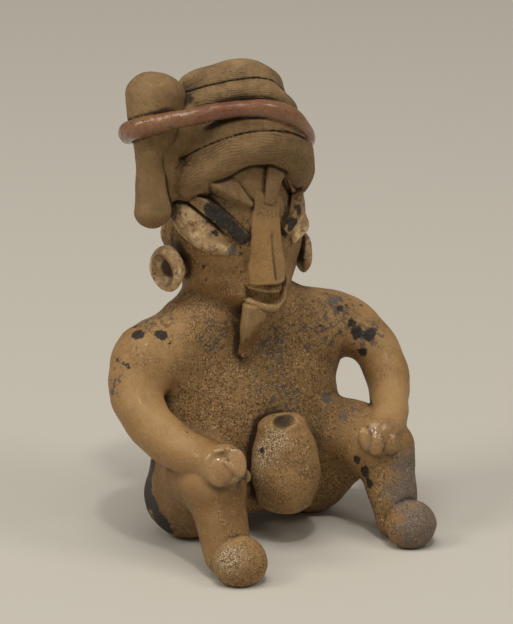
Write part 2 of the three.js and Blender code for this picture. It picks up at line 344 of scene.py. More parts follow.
# %% Turban and knot
WRAPS = {
    "wrap_brow": Wrap([0, 5, 107.9], 29, 10.3, 22, 7, 6.2, arch=5.9, drop=2.6),
    "wrap_thin": Wrap([0, 5, 113.3], 27, 11, 21.5, 7, 4.2, arch=4),
    "wrap_high": Wrap([0, 8, 122.5], 23, 13, 18.5, 8, 5, arch=3),
    "wrap_top": Wrap([0, 9, 128.6], 24, 10, 15, 8, 5.4, arch=1.8),
}
LUMPS.update(WRAPS)
BAND = Wrap([0, 5, 116.9], 23.5, 19, 22.5, 2.7, 2.7, arch=4.2, swell=13.9, drop=4.5)
LUMPS["band"] = Coil(None, line=BAND.middle_line(), radius=2.75)
LUMPS["turban_core"] = Pellet([0, 6, 116], [16, 15, 15])
LUMPS["knot"] = Coil(
    [[-26.4, 5, 129.3, 8.6, 6.5], [-28, 4, 120, 7, 6], [-30.4, 2.8, 112, 3.5, 3.8],
     [-30.3, 2, 104.5, 4.2, 4.2], [-29.5, 2, 97, 5.4, 4.8]]
)
LUMPS["knot_root"] = Coil([[-23.5, 6, 122, 3.4], [-24.5, 3.6, 112, 4.2], [-23.5, 4, 101, 3.2]])
LUMPS["turban_fill"] = Pellet([-18.5, 3, 119], [5, 6, 7])
print(len(LUMPS), "lumps in all")

# %% [markdown]
# ## Pressing the lumps together
#
# Where a maker only pushes two lumps together, a crease stays; where the join is smoothed with
# a finger, the clay flows over. The second number of `melt` is how many millimetres the join is
# smoothed over. Booleans could only give hard creases, so the join is made in the distances.

# %% Melting and cutting
def melt(a, b, over):
    """Two lumps joined, with the crease filled over a few millimetres. None is no clay nearby."""
    if a is None or b is None:
        return b if a is None else a
    near = np.maximum(over - np.abs(a - b), 0) / over
    return np.minimum(a, b) - near**2 * over / 4


def cut(a, b, over):
    """The first lump with the second taken out."""
    return a if a is None or b is None else -melt(-a, b, over)


def press(a, b, deep=0.5, wide=0.5, over=0.01):
    """Two lumps pushed together and left so: a crease runs along the join, which may be smoothed first."""
    if a is None or b is None:
        return b if a is None else a
    return melt(a, b, over) + deep * np.maximum(1 - np.abs(a - b) / wide, 0) ** 2


def ramp(x, low, high):
    t = np.clip((x - low) / (high - low), 0, 1)
    return t * t * (3 - 2 * t)


def lump(name, p, margin=7.0):
    """Distance to one lump, or None where all the points are far from it."""
    shape = LUMPS[name]
    near = (p.max(0) > shape.low - margin).all() and (p.min(0) < shape.high + margin).all()
    return shape(p) if near else None


# The finger-made unevenness: a few slow waves in fixed directions.
rng = np.random.default_rng(7)
WAVES = [(unit(rng.normal(size=3)) * 2 * math.pi / length, rng.uniform(0, 6.28), height)
         for length, height in ((23, 0.3), (17, 0.26), (13, 0.2), (9, 0.12), (7, 0.09), (5.2, 0.05))]


def unevenness(p):
    return sum(height * np.sin(p @ wave + start) for wave, start, height in WAVES)


# %% [markdown]
# The nose is a wedge pinched up between two fingers: two flat cheeks that meet in a ridge, cut
# off square above the mouth. Two leaning planes make it, so the ridge stays crisp.


# %% The nose
NOSE_Z = [72, 80, 92.4, 102]
NOSE_RIDGE_Y = [-14.4, -14.3, -12.1, -10.2]
NOSE_RIDGE_X = [0.2, 0.1, 0.0, 0.3]
NOSE_WIDTH = [5.8, 5.8, 5, 3.6]
NOSE_SIDE_Y = -11.0
NOSE_END_Z, NOSE_TOP_Z = 74.7, 101


def nose(p):
    if p[:, 1].min() > 2 or p[:, 2].max() < 66 or p[:, 2].min() > 112 or abs(p[:, 0]).min() > 16:
        return None
    x, y, z = p.T
    ridge_y, ridge_x, width = (np.interp(z, NOSE_Z, v) for v in (NOSE_RIDGE_Y, NOSE_RIDGE_X, NOSE_WIDTH))
    rise = NOSE_SIDE_Y - ridge_y
    length = np.hypot(width, rise)
    flanks = [((x - ridge_x) * s * rise - (y - ridge_y) * width) / length for s in (-1, 1)]
    wedge = cut(flanks[0], -flanks[1], 0.4)
    wedge = cut(wedge, width - np.abs(x - ridge_x), 0.6)
    wedge = cut(wedge, 2 - y, 1.0)
    tip = (z - NOSE_END_Z) * 0.98 + (y + 12) * 0.15 + (x - 0.4) * 0.03
    return cut(cut(wedge, tip, 0.7), NOSE_TOP_Z - z, 2.0)


# %% The whole lump of clay
FAR = 30.0  # the distance given where no clay is nearby, in millimetres
BLOCK = 10.0  # the side of a block of points, in millimetres
KEY_BASE = 4096  # more than the cells or blocks along any side
KEY_SHIFT = 64  # makes the number of every block positive


def hands_and_arms(at, p):
    """Both arms with their hands. The right arm's end is pressed flat, and soft lobes are the fingers."""
    right = melt(at("arm_right"), at("palm_right"), 1.6)
    if right is not None:
        flat = (p - PALM_RIGHT) @ FACE_RIGHT - FLAT_END
        right = cut(right, -flat, 0.6)
    for name, deep in (("lobe_right_2", 0.12), ("lobe_right_1", 0.15)):
        right = press(right, at(name), deep, 0.6)
    for name, over in (("ridge_right", 0.3), ("fold_right", 1.2), ("nub_right", 1.2)):
        right = melt(right, at(name), over)
    left = melt(at("arm_left"), at("palm_left"), 1.6)
    for name in ("lobe_left_1", "lobe_left_3", "lobe_left_2"):
        left = press(left, at(name), 0.1, 0.6, 0.6)
    return right, left


def head_and_face(at, p):
    head = melt(melt(at("skull"), at("jaw"), 3), at("hair_behind_ear"), 1)
    head = melt(melt(head, at("chin"), 1.0), nose(p), 0.5)
    for name in ("mouth", "mouth_slit", "mouth_corner", "nose_crack"):
        head = cut(head, at(name), 0.4)
    head = melt(head, at("upper_lip"), 0.3)
    head = melt(head, at("mouth_rim"), 0.4)
    for name in ("strand_broad", "strand_narrow", "strand_temple"):
        head = press(head, at(name), 0.15, 0.5)
    for side in ("right", "left"):
        eye = melt(at("eye_" + side), at("lid_lower_" + side), 1.6)
        head = press(head, eye, 0.15, 0.6)
        head = press(head, at("lid_upper_" + side), 0.3, 0.8)
        spool = cut(cut(at("spool_" + side), at("spool_dish_" + side), 0.7), at("spool_pit_" + side), 0.5)
        head = press(head, melt(spool, at("spool_stem_" + side), 1.2), 0.2, 0.4)
    return head


def turban(at):
    wound = at("turban_core")
    for name in WRAPS:
        wound = press(wound, at(name), 0.9, 0.45, 3.2)
    wound = melt(melt(wound, at("turban_fill"), 1.5), at("knot_root"), 1.8)
    wound = press(wound, at("knot"), 0.4, 0.7, 1.2)
    return press(wound, at("band"), 0.3, 0.8)


def clay_here(p):
    """Distance from each point of a small region to the figure's skin, in millimetres."""
    at = lambda name: lump(name, p)
    body = melt(at("trunk"), at("yoke"), 9)
    for side in ("right", "left"):
        body = melt(body, at("thigh_" + side), 4.5)
        lower_leg = press(at("shin_" + side), at("foot_" + side), 0.3, 0.7, 0.8)
        body = melt(body, lower_leg, 3)
    barrel = cut(cut(at("barrel"), at("barrel_pit"), 0.6), at("barrel_chip"), 0.5)
    body = press(body, barrel, 0.4, 0.7)
    smoothed = 0.7 + 4.2 * ramp(p[:, 2], 37, 50)
    for arm in hands_and_arms(at, p):
        body = melt(body, arm, smoothed)
    body = melt(body, head_and_face(at, p), 3)
    body = press(body, at("beard"), 0.3, 0.5)
    whole = press(body, turban(at), 0.5, 1.0)
    if whole is None:
        return np.full(len(p), FAR)
    return cut(whole + unevenness(p) * 0.8, p[:, 2], 0.5)


def key(places):
    """One number for each whole-number place."""
    return (places[:, 0] * KEY_BASE + places[:, 1]) * KEY_BASE + places[:, 2]


def by_blocks(work, p):
    """Runs some work on the points block by block, so that far lumps can be skipped."""
    blocks = key(np.floor(p / BLOCK).astype(int) + KEY_SHIFT)
    order = np.argsort(blocks, kind="stable")
    result = np.empty(len(p))
    for part in np.split(order, np.flatnonzero(np.diff(blocks[order])) + 1):
        result[part] = work(p[part])
    return result


def clay(p):
    return by_blocks(clay_here, p)


print("clay at the belly, mm:", clay(np.array([[0.0, 0.0, 30.0], [0.0, -30.0, 60.0]])).round(1))

# %% [markdown]
# ## Drawing the skin
#
# Space is cut into cells, and only the cells near the skin are kept and cut smaller, level by
# level. In each small cell that the skin crosses goes one point, and each edge that the skin
# crosses gets a four-sided face between the points of the cells round it. A metaball object
# would do the same at once, but it knows only a few shapes and no sharp creases.


# %% Cells near the skin
CELL = 0.35
LEVELS = 4
ROOM = 4  # millimetres of space looked at round the solid's box
CORNERS = np.array([[i, j, k] for i in (0, 1) for j in (0, 1) for k in (0, 1)])


def cells_near_skin():
    """Whole-number places of the finest cells that may hold skin."""
    size = CELL * 2**LEVELS
    low, high = (np.array(v) / MM - FIGURE_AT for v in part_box("seated_figure"))
    start = low - ROOM
    count = np.ceil((high + ROOM - start) / size).astype(int)
    cells = np.stack(np.meshgrid(*[np.arange(n) for n in count], indexing="ij"), -1).reshape(-1, 3)
    for level in range(LEVELS + 1):
        distance = clay(start + (cells + 0.5) * size)
        cells = cells[np.abs(distance) < size * 1.15 + 0.1]
        if level < LEVELS:
            cells = (cells[:, None] * 2 + CORNERS).reshape(-1, 3)
            size /= 2
    return cells, start


cells, START = cells_near_skin()
print(len(cells), "cells near the skin, each", CELL, "mm")


# %% Edges that the skin crosses
def find(sorted_keys, keys):
    """Where each key is in a sorted list, or -1."""
    at = np.minimum(np.searchsorted(sorted_keys, keys), len(sorted_keys) - 1)
    return np.where(sorted_keys[at] == keys, at, -1)


def crossings(corners, distance):
    """The four cells round each edge that the skin crosses, in turn so that the face looks out."""
    keys, step, rings = key(corners), np.eye(3, dtype=int), []
    for axis in range(3):
        end = find(keys, key(corners + step[axis]))
        crossed = (end >= 0) & ((distance < 0) != (distance[end] < 0))
        edge, inward = corners[crossed], distance[end[crossed]] < 0
        b, c = step[(axis + 1) % 3], step[(axis + 2) % 3]
        ring = np.stack([edge, edge - b, edge - b - c, edge - c], 1)
        ring[inward] = ring[inward][:, ::-1]
        rings.append(ring)
    return np.concatenate(rings)


def close_gaps(cells):
    """Adds the cells that the skin also crosses. Gives cells, corners and distances, sorted by key."""
    corners, distance = np.empty((0, 3), int), np.empty(0)
    fresh = cells
    while len(fresh):
        wanted = (fresh[:, None] + CORNERS).reshape(-1, 3)
        wanted = wanted[np.unique(key(wanted), return_index=True)[1]]
        if len(corners):
            wanted = wanted[find(key(corners), key(wanted)) < 0]
        corners = np.concatenate([corners, wanted])
        distance = np.concatenate([distance, clay(START + wanted * CELL)])
        order = np.argsort(key(corners))
        corners, distance = corners[order], distance[order]
        cells = cells[np.argsort(key(cells))]
        round_edges = crossings(corners, distance).reshape(-1, 3)
        fresh = round_edges[find(key(cells), key(round_edges)) < 0]
        fresh = fresh[np.unique(key(fresh), return_index=True)[1]]
        cells = np.concatenate([cells, fresh])
    return cells, corners, distance


cells, corners, distance = close_gaps(cells)
print(len(cells), "cells after closing gaps")


# %% Points and faces
def skin(cells, corners, distance):
    """Points and four-sided faces of the surface where the distance is zero."""
    at = distance[find(key(corners), key((cells[:, None] + CORNERS).reshape(-1, 3)))].reshape(-1, 8)
    crossed = (at.min(1) < 0) & (at.max(1) >= 0)
    cells, at = cells[crossed], at[crossed]
    total, hits = np.zeros((len(cells), 3)), np.zeros(len(cells))
    for a in range(8):
        for b in range(a + 1, 8):
            if np.abs(CORNERS[a] - CORNERS[b]).sum() == 1:
                cross = (at[:, a] < 0) != (at[:, b] < 0)
                t = at[:, a] / np.where(cross, at[:, a] - at[:, b], 1)
                total += np.where(cross[:, None], CORNERS[a] + t[:, None] * (CORNERS[b] - CORNERS[a]), 0)
                hits += cross
    points = START + (cells + total / hits[:, None]) * CELL
    faces = find(key(cells), key(crossings(corners, distance).reshape(-1, 3))).reshape(-1, 4)
    return points, faces


points, faces = skin(cells, corners, distance)
print(len(points), "points and", len(faces), "faces, missing:", int((faces < 0).sum()))


# %% Points moved onto the skin
def slope(p, step=0.05):
    """The direction out of the clay at each point, and the distance there, from four samples."""
    corners = np.array([[1, 1, 1], [1, -1, -1], [-1, 1, -1], [-1, -1, 1]])
    samples = [clay(p + step * c) for c in corners]
    return sum(s[:, None] * c for s, c in zip(samples, corners)) / (4 * step), sum(samples) / 4


out, distance = slope(points)
points = points - out * (distance / np.maximum((out**2).sum(1), 0.3))[:, None]
print("lowest and highest point, mm:", points.min(0).round(1), points.max(0).round(1))

# %% [markdown]
# ## Which clay lies where
#
# The turban is combed and matt, the cord round it is rubbed red, the eyes and ear spools keep a
# cream slip, soot has caught in patches. Each of these is a number at every point of the mesh,
# worked out from the same lumps, so the colours end where the shapes do. Painting them by hand
# as vertex colours would work too, but it could not be repeated.


# %% Numbers that say which lump a point is on
def share(values, reach=0.8):
    """A number for each point, taken from the lumps that it lies on or close to."""

    def here(p):
        total, weight = np.zeros(len(p)), np.full(len(p), 1e-9)
        for name, value in values.items():
            distance = lump(name, p, 5 * reach + 1)
            if distance is not None:
                near = np.exp(-np.maximum(distance, 0) / reach)
                total, weight = total + near * value, weight + near
        return total / weight

    return lambda p: by_blocks(here, p)


STRANDS = ["strand_broad", "strand_narrow", "strand_temple"]
CLOTH = list(WRAPS) + ["turban_core", "turban_fill", "knot", "knot_root"] + STRANDS
SPOOLS = ["spool_right", "spool_left"]
HAND_PARTS = ("palm", "lobe", "nub", "ridge", "fold")
BURNISHED = {
    "trunk": 0.0, "yoke": 0.22, "arm_right": 1.0, "arm_left": 0.85, "palm_right": 0.95, "palm_left": 0.85,
    "lobe_right_1": 0.95, "lobe_right_2": 0.95, "lobe_left_1": 0.8, "lobe_left_2": 0.8, "lobe_left_3": 0.8,
    "thigh_right": 0.7, "shin_right": 0.7, "thigh_left": 0.3, "barrel": 0.42,
    "skull": 0.75, "jaw": 0.8, "beard": 0.9,
}
RUDDY = {"skull": 1.0, "jaw": 1.0, "chin": 1.0, "beard": 1.8, "thigh_right": 1.25, "shin_right": 1.1,
         "thigh_left": 1.2}
cloth_share = share({name: float(name in CLOTH) for name in LUMPS}, 0.25)
combed_share = share({name: float(name in WRAPS) for name in LUMPS}, 0.4)
cord_share = share({name: float(name == "band") for name in LUMPS}, 0.2)
burnish_share = share({name: BURNISHED.get(name, 0.3) for name in LUMPS}, 3.0)
palm_share = share({name: float(name.startswith(HAND_PARTS)) for name in LUMPS})
ruddy_share = share({name: RUDDY.get(name, 0.0) for name in LUMPS}, 1.5)


# %% The comb's path round each roll of the turban
COMB_SLANT = {"wrap_brow": 0.16, "wrap_thin": 0.05, "wrap_high": 0.1, "wrap_top": -0.07}


def comb_here(p):
    """How far each point lies across the comb marks, in millimetres."""
    path, nearest = np.zeros(len(p)), np.full(len(p), FAR)
    for name, slant in COMB_SLANT.items():
        wrap = WRAPS[name]
        turn, out, rise = wrap.local(p)
        distance = wrap(p)
        across = np.arctan2(rise / wrap.tall, out / wrap.thick) * (wrap.thick + wrap.tall) / 2
        closer = distance < nearest
        path = np.where(closer, across + slant * turn * wrap.radius, path)
        nearest = np.minimum(nearest, distance)
    return path


# %% [markdown]
# ## Places on the skin
#
# Sand, soot and smoke sit at places of their own. Each place is written as a lump, a share of
# the lump's length, a side of the figure and a radius, and is worked out from the clay. Plain
# coordinates would do as well, but they would hang in the air once a lump is moved.


# %% Places on the skin
LEFT, BACK, UP = np.eye(3)  # the figure's own left
RIGHT, FRONT, DOWN = -LEFT, -BACK, -UP
STEPS_TO_SKIN = 14


def on(name, *rows):
    """Rows for one lump, each with a share of its length, a side and a radius in millimetres."""
    return [(name, *row) for row in rows]


def on_skin(rows):
    """Places as [x, y, z, radius], found by going from a lump's core to that side until the clay ends."""
    at, way = [], []
    for name, along, side, _ in rows:
        shape = LUMPS[name]
        core = [shape.centre] if isinstance(shape, Pellet) else shape.line
        at.append(core[round(along * (len(core) - 1))])
        way.append(unit(np.asarray(side, float)))
    at, way = np.array(at, float), np.array(way)
    for _ in range(STEPS_TO_SKIN):
        at = at - way * clay(at)[:, None]
    return np.column_stack([at, [row[3] for row in rows]])


# %% Where sand has stuck
SAND = on_skin(
    on("barrel", (0.1, RIGHT, 4.5), (0.35, RIGHT, 5), (0.7, RIGHT + 0.3 * FRONT, 6),
       (0.95, RIGHT + 0.8 * FRONT, 5))
    + on("foot_right", (0, RIGHT + 0.5 * FRONT + 0.5 * UP, 6))
)
ROUGH = on_skin(
    on("barrel", (1, UP, 4)) + on("foot_left", (0, FRONT, 7)) + on("foot_right", (0, UP + 0.5 * FRONT, 5))
)
print("sand at, mm:", SAND.round(1).tolist())


def patches(p, table):
    """1 in the middle of the nearest patch, 0 at its edge, less outside it."""
    return np.max([1 - np.linalg.norm(p - row[:3], axis=1) / row[3] for row in table], axis=0)


def gritty(p):
    return np.maximum(1.5 * patches(p, np.vstack([SAND, ROUGH])), 0)


# %% [markdown]
# ## The mesh and the comb marks
#
# A tree of Geometry Nodes treats the fine mesh. It drags a comb along the rolls of the turban,
# and it roughens everything a little, as grit does, and more where sand has stuck. Its sizes are
# named inputs, so the marks can be made deeper or wider without touching the mesh.


# %% Only the one skin is kept
def largest_shell(points, faces):
    """Drops the specks, a few faces each, that tight creases leave cut off from the rest of the skin."""
    group = np.arange(len(points))
    while True:
        joined = group.copy()
        np.minimum.at(joined, faces, group[faces].min(axis=1)[:, None])
        joined = joined[joined]
        if (joined == group).all():
            break
        group = joined
    kept = group == np.bincount(group).argmax()
    number = np.cumsum(kept) - 1
    return points[kept], number[faces[kept[faces[:, 0]]]]


points_before = len(points)
points, faces = largest_shell(points, faces)
print(points_before - len(points), "points of cut-off specks dropped,", len(points), "kept")


# %% A mesh from points and faces
def fine_mesh(name, points, faces):
    mesh = bpy.data.meshes.new(name)
    mesh.from_pydata(((points + FIGURE_AT) * MM).tolist(), [], faces.tolist())
    mesh.polygons.foreach_set("use_smooth", np.ones(len(faces), bool))
    obj = bpy.data.objects.new(name, mesh)
    bpy.context.scene.collection.objects.link(obj)
    return obj


def put_numbers(mesh, name, values):
    attribute = mesh.attributes.new(name, "FLOAT", "POINT")
    attribute.data.foreach_set("value", np.ascontiguousarray(values, dtype=np.float32))


figure = fine_mesh("figure_of_clay", points, faces)
put_numbers(figure.data, "combed", combed_share(points))
put_numbers(figure.data, "comb_path", comb_here(points) * MM)
put_numbers(figure.data, "gritty", np.clip(gritty(points), 0, 1))
put_numbers(figure.data, "worn", 1.05 - 0.85 * burnish_share(points))
print(len(figure.data.vertices), "points in the fine mesh")


# %% A short way to write node trees
def new_node(tree, kind, *values, **settings):
    """Adds a node. Sockets given as values are linked and numbers are set, in the inputs' order."""
    node = tree.nodes.new(kind)
    for setting, value in settings.items():
        setattr(node, setting, value)
    sockets = [s for s in node.inputs if s.enabled]
    for socket, value in zip(sockets, values):
        put(tree, socket, value)
    return node


def put(tree, socket, value):
    if isinstance(value, bpy.types.NodeSocket):
        tree.links.new(value, socket)
    elif value is not None:
        socket.default_value = value


def math_node(tree, operation, *values, clamp=False):
    return new_node(tree, "ShaderNodeMath", *values, operation=operation, use_clamp=clamp).outputs[0]


def number_of(tree, name):
    """Reads a number of the mesh in a Geometry Nodes tree."""
    node = tree.nodes.new("GeometryNodeInputNamedAttribute")
    node.data_type = "FLOAT"
    node.inputs["Name"].default_value = name
    return node.outputs["Attribute"]


# %% The tree that combs and roughens the clay
def comb_tree():
    tree = bpy.data.node_groups.new("Comb marks", "GeometryNodeTree")
    tree.interface.new_socket("Geometry", in_out="INPUT", socket_type="NodeSocketGeometry")
    for name in ("Comb depth", "Comb spacing", "Grain depth", "Grain size"):
        tree.interface.new_socket(name, in_out="INPUT", socket_type="NodeSocketFloat")
    tree.interface.new_socket("Clay", in_out="INPUT", socket_type="NodeSocketMaterial")
    tree.interface.new_socket("Geometry", in_out="OUTPUT", socket_type="NodeSocketGeometry")
    given = tree.nodes.new("NodeGroupInput").outputs
    do = lambda *a, **k: math_node(tree, *a, **k)
    times = lambda a, b: do("MULTIPLY", a, b)

    teeth = do("DIVIDE", number_of(tree, "comb_path"), given["Comb spacing"])
    wander = new_node(tree, "ShaderNodeTexNoise", None, 90.0, 3.0, 0.6).outputs[0]
    teeth = do("ADD", teeth, times(wander, 6.5))
    groove = do("SUBTRACT", 1.0, do("ABSOLUTE", do("SINE", times(teeth, math.pi))))
    groove = do("POWER", groove, 1.4)
    fade = new_node(tree, "ShaderNodeTexNoise", None, 210.0, 1.0).outputs[0]
    groove = times(groove, do("MULTIPLY", do("SUBTRACT", fade, 0.38), 4.0, clamp=True))
    marks = times(times(groove, number_of(tree, "combed")), given["Comb depth"])

    scale = do("DIVIDE", 1.0, given["Grain size"])
    grit = new_node(tree, "ShaderNodeTexNoise", None, scale, 3.0, 0.6).outputs[0]
    rough = do("ADD", number_of(tree, "worn"), times(number_of(tree, "gritty"), 2.6))
    grain = times(times(do("SUBTRACT", grit, 0.5), rough), given["Grain depth"])
    lift = do("SUBTRACT", grain, marks)
    normal = tree.nodes.new("GeometryNodeInputNormal").outputs[0]
    offset = new_node(tree, "ShaderNodeVectorMath", operation="SCALE")
    put(tree, offset.inputs["Vector"], normal)
    put(tree, offset.inputs["Scale"], lift)
    moved = new_node(tree, "GeometryNodeSetPosition", given["Geometry"])
    put(tree, moved.inputs["Offset"], offset.outputs[0])
    real = new_node(tree, "GeometryNodeRealizeInstances", moved.outputs[0])
    dressed = new_node(tree, "GeometryNodeSetMaterial", real.outputs[0])
    put(tree, dressed.inputs["Material"], given["Clay"])
    new_node(tree, "NodeGroupOutput", dressed.outputs[0])
    return tree


def add_tree(obj, tree, **sizes):
    modifier = obj.modifiers.new(tree.name, "NODES")
    modifier.node_group = tree
    for item in tree.interface.items_tree:
        if item.in_out == "INPUT" and item.name in sizes:
            modifier[item.identifier] = sizes[item.name]


# %% Combed, then thinned to a mesh of a reasonable size
MOST_TRIANGLES = 190_000
fired_clay = bpy.data.materials.new("fired_clay")
fired_clay.use_nodes = True
add_tree(figure, comb_tree(), **{
    "Comb depth": 0.18 * MM, "Comb spacing": 1.25 * MM, "Grain depth": 0.24 * MM, "Grain size": 1.1 * MM,
    "Clay": fired_clay,
})
thin = figure.modifiers.new("Thin", "DECIMATE")
thin.ratio = min(1.0, MOST_TRIANGLES / (2 * len(faces)))
plain = bpy.data.meshes.new_from_object(figure.evaluated_get(bpy.context.evaluated_depsgraph_get()))
figure.modifiers.clear()
figure.data = plain
plain.name = "figure_of_clay"
plain.materials.clear()
plain.materials.append(fired_clay)
for name in [a.name for a in plain.attributes if a.name in ("combed", "comb_path", "gritty", "worn")]:
    plain.attributes.remove(plain.attributes[name])
print(len(plain.polygons), "triangles in the finished mesh")

# %% Numbers on the finished mesh
points = np.empty(len(plain.vertices) * 3, np.float32)
plain.vertices.foreach_get("co", points)
points = points.reshape(-1, 3) / MM - FIGURE_AT
normals = np.empty(len(plain.vertices) * 3, np.float32)
plain.vertices.foreach_get("normal", normals)
normals = normals.reshape(-1, 3)

# %% Where soot, paint and smoke have caught
# Soot and burnt paint lie in small spots. The shader's numbers grow every one by `SPOT_LIFT`.
SPOT_LIFT = 1.0
SOOT_ON_ARMS = (
    on("arm_right", (0.2, UP, 1.5), (0.05, UP + 0.7 * FRONT, 1.3), (0, FRONT + 0.6 * UP, 0.3),
       (0.15, UP + 0.4 * BACK, 0.5), (0.2, RIGHT + 0.5 * UP, 0.2), (0.2, RIGHT + 0.4 * FRONT + 0.5 * UP, 0),
       (0.2, RIGHT + 0.7 * FRONT + 0.5 * UP, 0.2), (0.85, UP, 0.2))
    + on("yoke", (0.1, UP, 0), (0.85, FRONT, 0.1))
    + on("arm_left", (0.2, FRONT, 1.4), (0.25, FRONT + 0.2 * UP, 1), (0.12, FRONT, 1.5),
         (0.15, FRONT + 0.5 * DOWN, 1), (0.1, FRONT + 0.3 * UP, 0.9), (0, FRONT, 0.2),
         (0.05, FRONT + 0.9 * UP, 0.6), (0.1, UP + 0.8 * FRONT, 0.4), (0.3, UP, 0.2), (0.8, UP, 0))
)
SOOT_ON_LEGS = (
    on("thigh_right", (0.05, RIGHT + 0.8 * UP, 2.4), (0, RIGHT + 0.4 * UP, 3.2),
       (0, RIGHT + 0.15 * FRONT, 3.2), (0, RIGHT + 0.4 * DOWN + 0.3 * FRONT, 3),
       (0, RIGHT + 0.8 * DOWN + 0.3 * FRONT, 2.4),
       (0, RIGHT + 0.5 * BACK, 5), (0, RIGHT + 0.5 * BACK + 0.6 * DOWN, 4))
    + on("shin_left", (0.05, RIGHT, 0.9), (0.2, RIGHT + 0.1 * FRONT, 1.4), (0.4, RIGHT + 0.1 * FRONT, 1.0))
    + on("barrel", (0.75, RIGHT + 0.2 * FRONT, 0.4), (0.3, FRONT, -0.1))
)
SOOT_ON_FACE = (
    on("skull", (0.15, RIGHT + 0.5 * FRONT, 0.3), (0, RIGHT + 0.5 * FRONT, -0.1),
       (0.1, FRONT + 0.5 * RIGHT, -0.1), (0.3, FRONT + 0.5 * RIGHT, 0.1))
    + on("lid_upper_left", (0.85, FRONT + 0.4 * DOWN, 1.6), (0.65, FRONT, 0.8))
    + on("eye_right", (0.6, FRONT, 0.6))
)
# Black paint along the right eye's upper lid.
PAINT = on("lid_upper_right", *((along, FRONT + 0.35 * DOWN, 1.75) for along in np.linspace(0.35, 0.95, 7)))
SOOT = on_skin(SOOT_ON_ARMS + SOOT_ON_LEGS + SOOT_ON_FACE + PAINT)
GREY_SPOT = on_skin(
    on("lid_lower_right", (1, FRONT + 0.5 * LEFT, 1.3)) + on("lid_upper_right", (0.8, UP + FRONT, 1))
    + on("arm_left", (0.02, UP + 0.7 * FRONT, 1.2), (0.08, UP + 0.4 * FRONT, 1.0))
    + on("thigh_left", (0.35, UP + 0.2 * RIGHT, 1.6)) + on("yoke", (0.95, UP + 0.8 * FRONT, 0.9))
)
# Black flecks left by a paint that once covered the breast and the shoulders.
FLECKS = on_skin(
    on("yoke", (0.85, FRONT, 13), (0.3, FRONT, 7))
    + on("trunk", (0.6, FRONT + 0.5 * LEFT, 12), (0.4, FRONT + 0.2 * LEFT, 12))
    + on("arm_left", (0.05, UP + FRONT, 9), (0.2, FRONT, 8)) + on("arm_right", (0, UP, 7), (0.3, RIGHT, 6))
    + on("thigh_left", (0.7, UP + 0.5 * RIGHT, 8), (0.4, RIGHT + UP, 8))
    + on("lid_upper_left", (0.7, FRONT, 7)) + on("lid_upper_right", (0.5, UP + FRONT, 7))
)
# Fire smoke on the left shin and foot.
SMOKE = on_skin(
    on("shin_left", (0.2, FRONT + 0.7 * LEFT, 8), (0.55, FRONT + 0.3 * LEFT, 8.5), (0.9, FRONT, 9))
    + on("foot_left", (0, FRONT, 10))
)
# Pits, the nose's crack and the mouth's corner are painted darker: shade in these recesses, and the dirt
# that has settled there.
PITS = ["spool_pit_right", "spool_pit_left", "mouth_corner", "barrel_pit", "nose_crack"]
# Cream slip on the eyes and ear spools.
SLIPPED = dict.fromkeys(SPOOLS + ["lid_lower_right", "lid_lower_left"], 1.0)
SLIPPED |= {"eye_right": 0.6, "eye_left": 0.7}
print("soot on the lid at, mm:", SOOT[-1].round(1).tolist())


# %% Numbers for the shader
def spots(p, table):
    """How deep in the nearest small spot each point is, in millimetres."""
    return np.max([row[3] + SPOT_LIFT - np.linalg.norm(p - row[:3], axis=1) for row in table], axis=0)


def hollowness(p, normals):
    """How much of the space just outside a point is filled with clay."""
    heights = (0.8, 1.8, 3.6)
    return sum(np.clip((h - clay(p + normals * h)) / h, 0, 1) for h in heights) / len(heights)


aside, ahead, height = np.abs(points[:, 0]), -points[:, 1], points[:, 2]
# Painted shade: creases and hollows, where much clay crowds round a point, get a darker colour, along with
# the dirt in them.
hollow_shade = hollowness(points, normals)
hollow_shade *= 0.35 + 0.65 * ramp(LUMPS["mouth"](points), 0.1, 0.6)  # the box of the mouth is brown, so less shade is painted there
forehead = 0.75 * ramp(height, 92, 99) * ramp(ahead, 0, 3)  # it has the turban's colour
on_nose = np.min([1 - ramp(aside, 5.6, 6.2), ramp(ahead, 10.2, 11), ramp(height, 74, 75),
                  1 - ramp(height, 90, 100)], axis=0)
NUMBERS = {
    "soot": np.clip(spots(points, SOOT), -2, 2),
    "grey_spot": np.clip(spots(points, GREY_SPOT), -2, 2),
    "smoke": np.clip(patches(points, SMOKE), -1, 1),
    "crust": np.clip(patches(points, SAND), -1, 1),
    "flecks": np.clip(patches(points, FLECKS), -1, 1),
    "pit": np.max([1 - ramp(LUMPS[name](points), -0.2, 0.7) for name in PITS], axis=0),
    "hollow_shade": hollow_shade,
    "ridge": np.clip((clay(points - normals * 1.5) + 1.5) / 1.5, 0, 1) * (1 - ramp(hollow_shade, 0.0, 0.08)),
    "cloth": np.maximum(cloth_share(points), forehead),
    "comb_path": comb_here(points),
    "combed": combed_share(points),
    "cord": cord_share(points),
    "palm": palm_share(points),
    "ruddy": ruddy_share(points) * (1 - on_nose),
    "burnish": np.maximum(burnish_share(points), 0.85 * on_nose),
    "cream": share({name: SLIPPED.get(name, 0.0) for name in LUMPS}, 0.3)(points),
}
for name, values in NUMBERS.items():
    put_numbers(plain, name, values)
print({name: round(float(values.mean()), 3) for name, values in NUMBERS.items()})
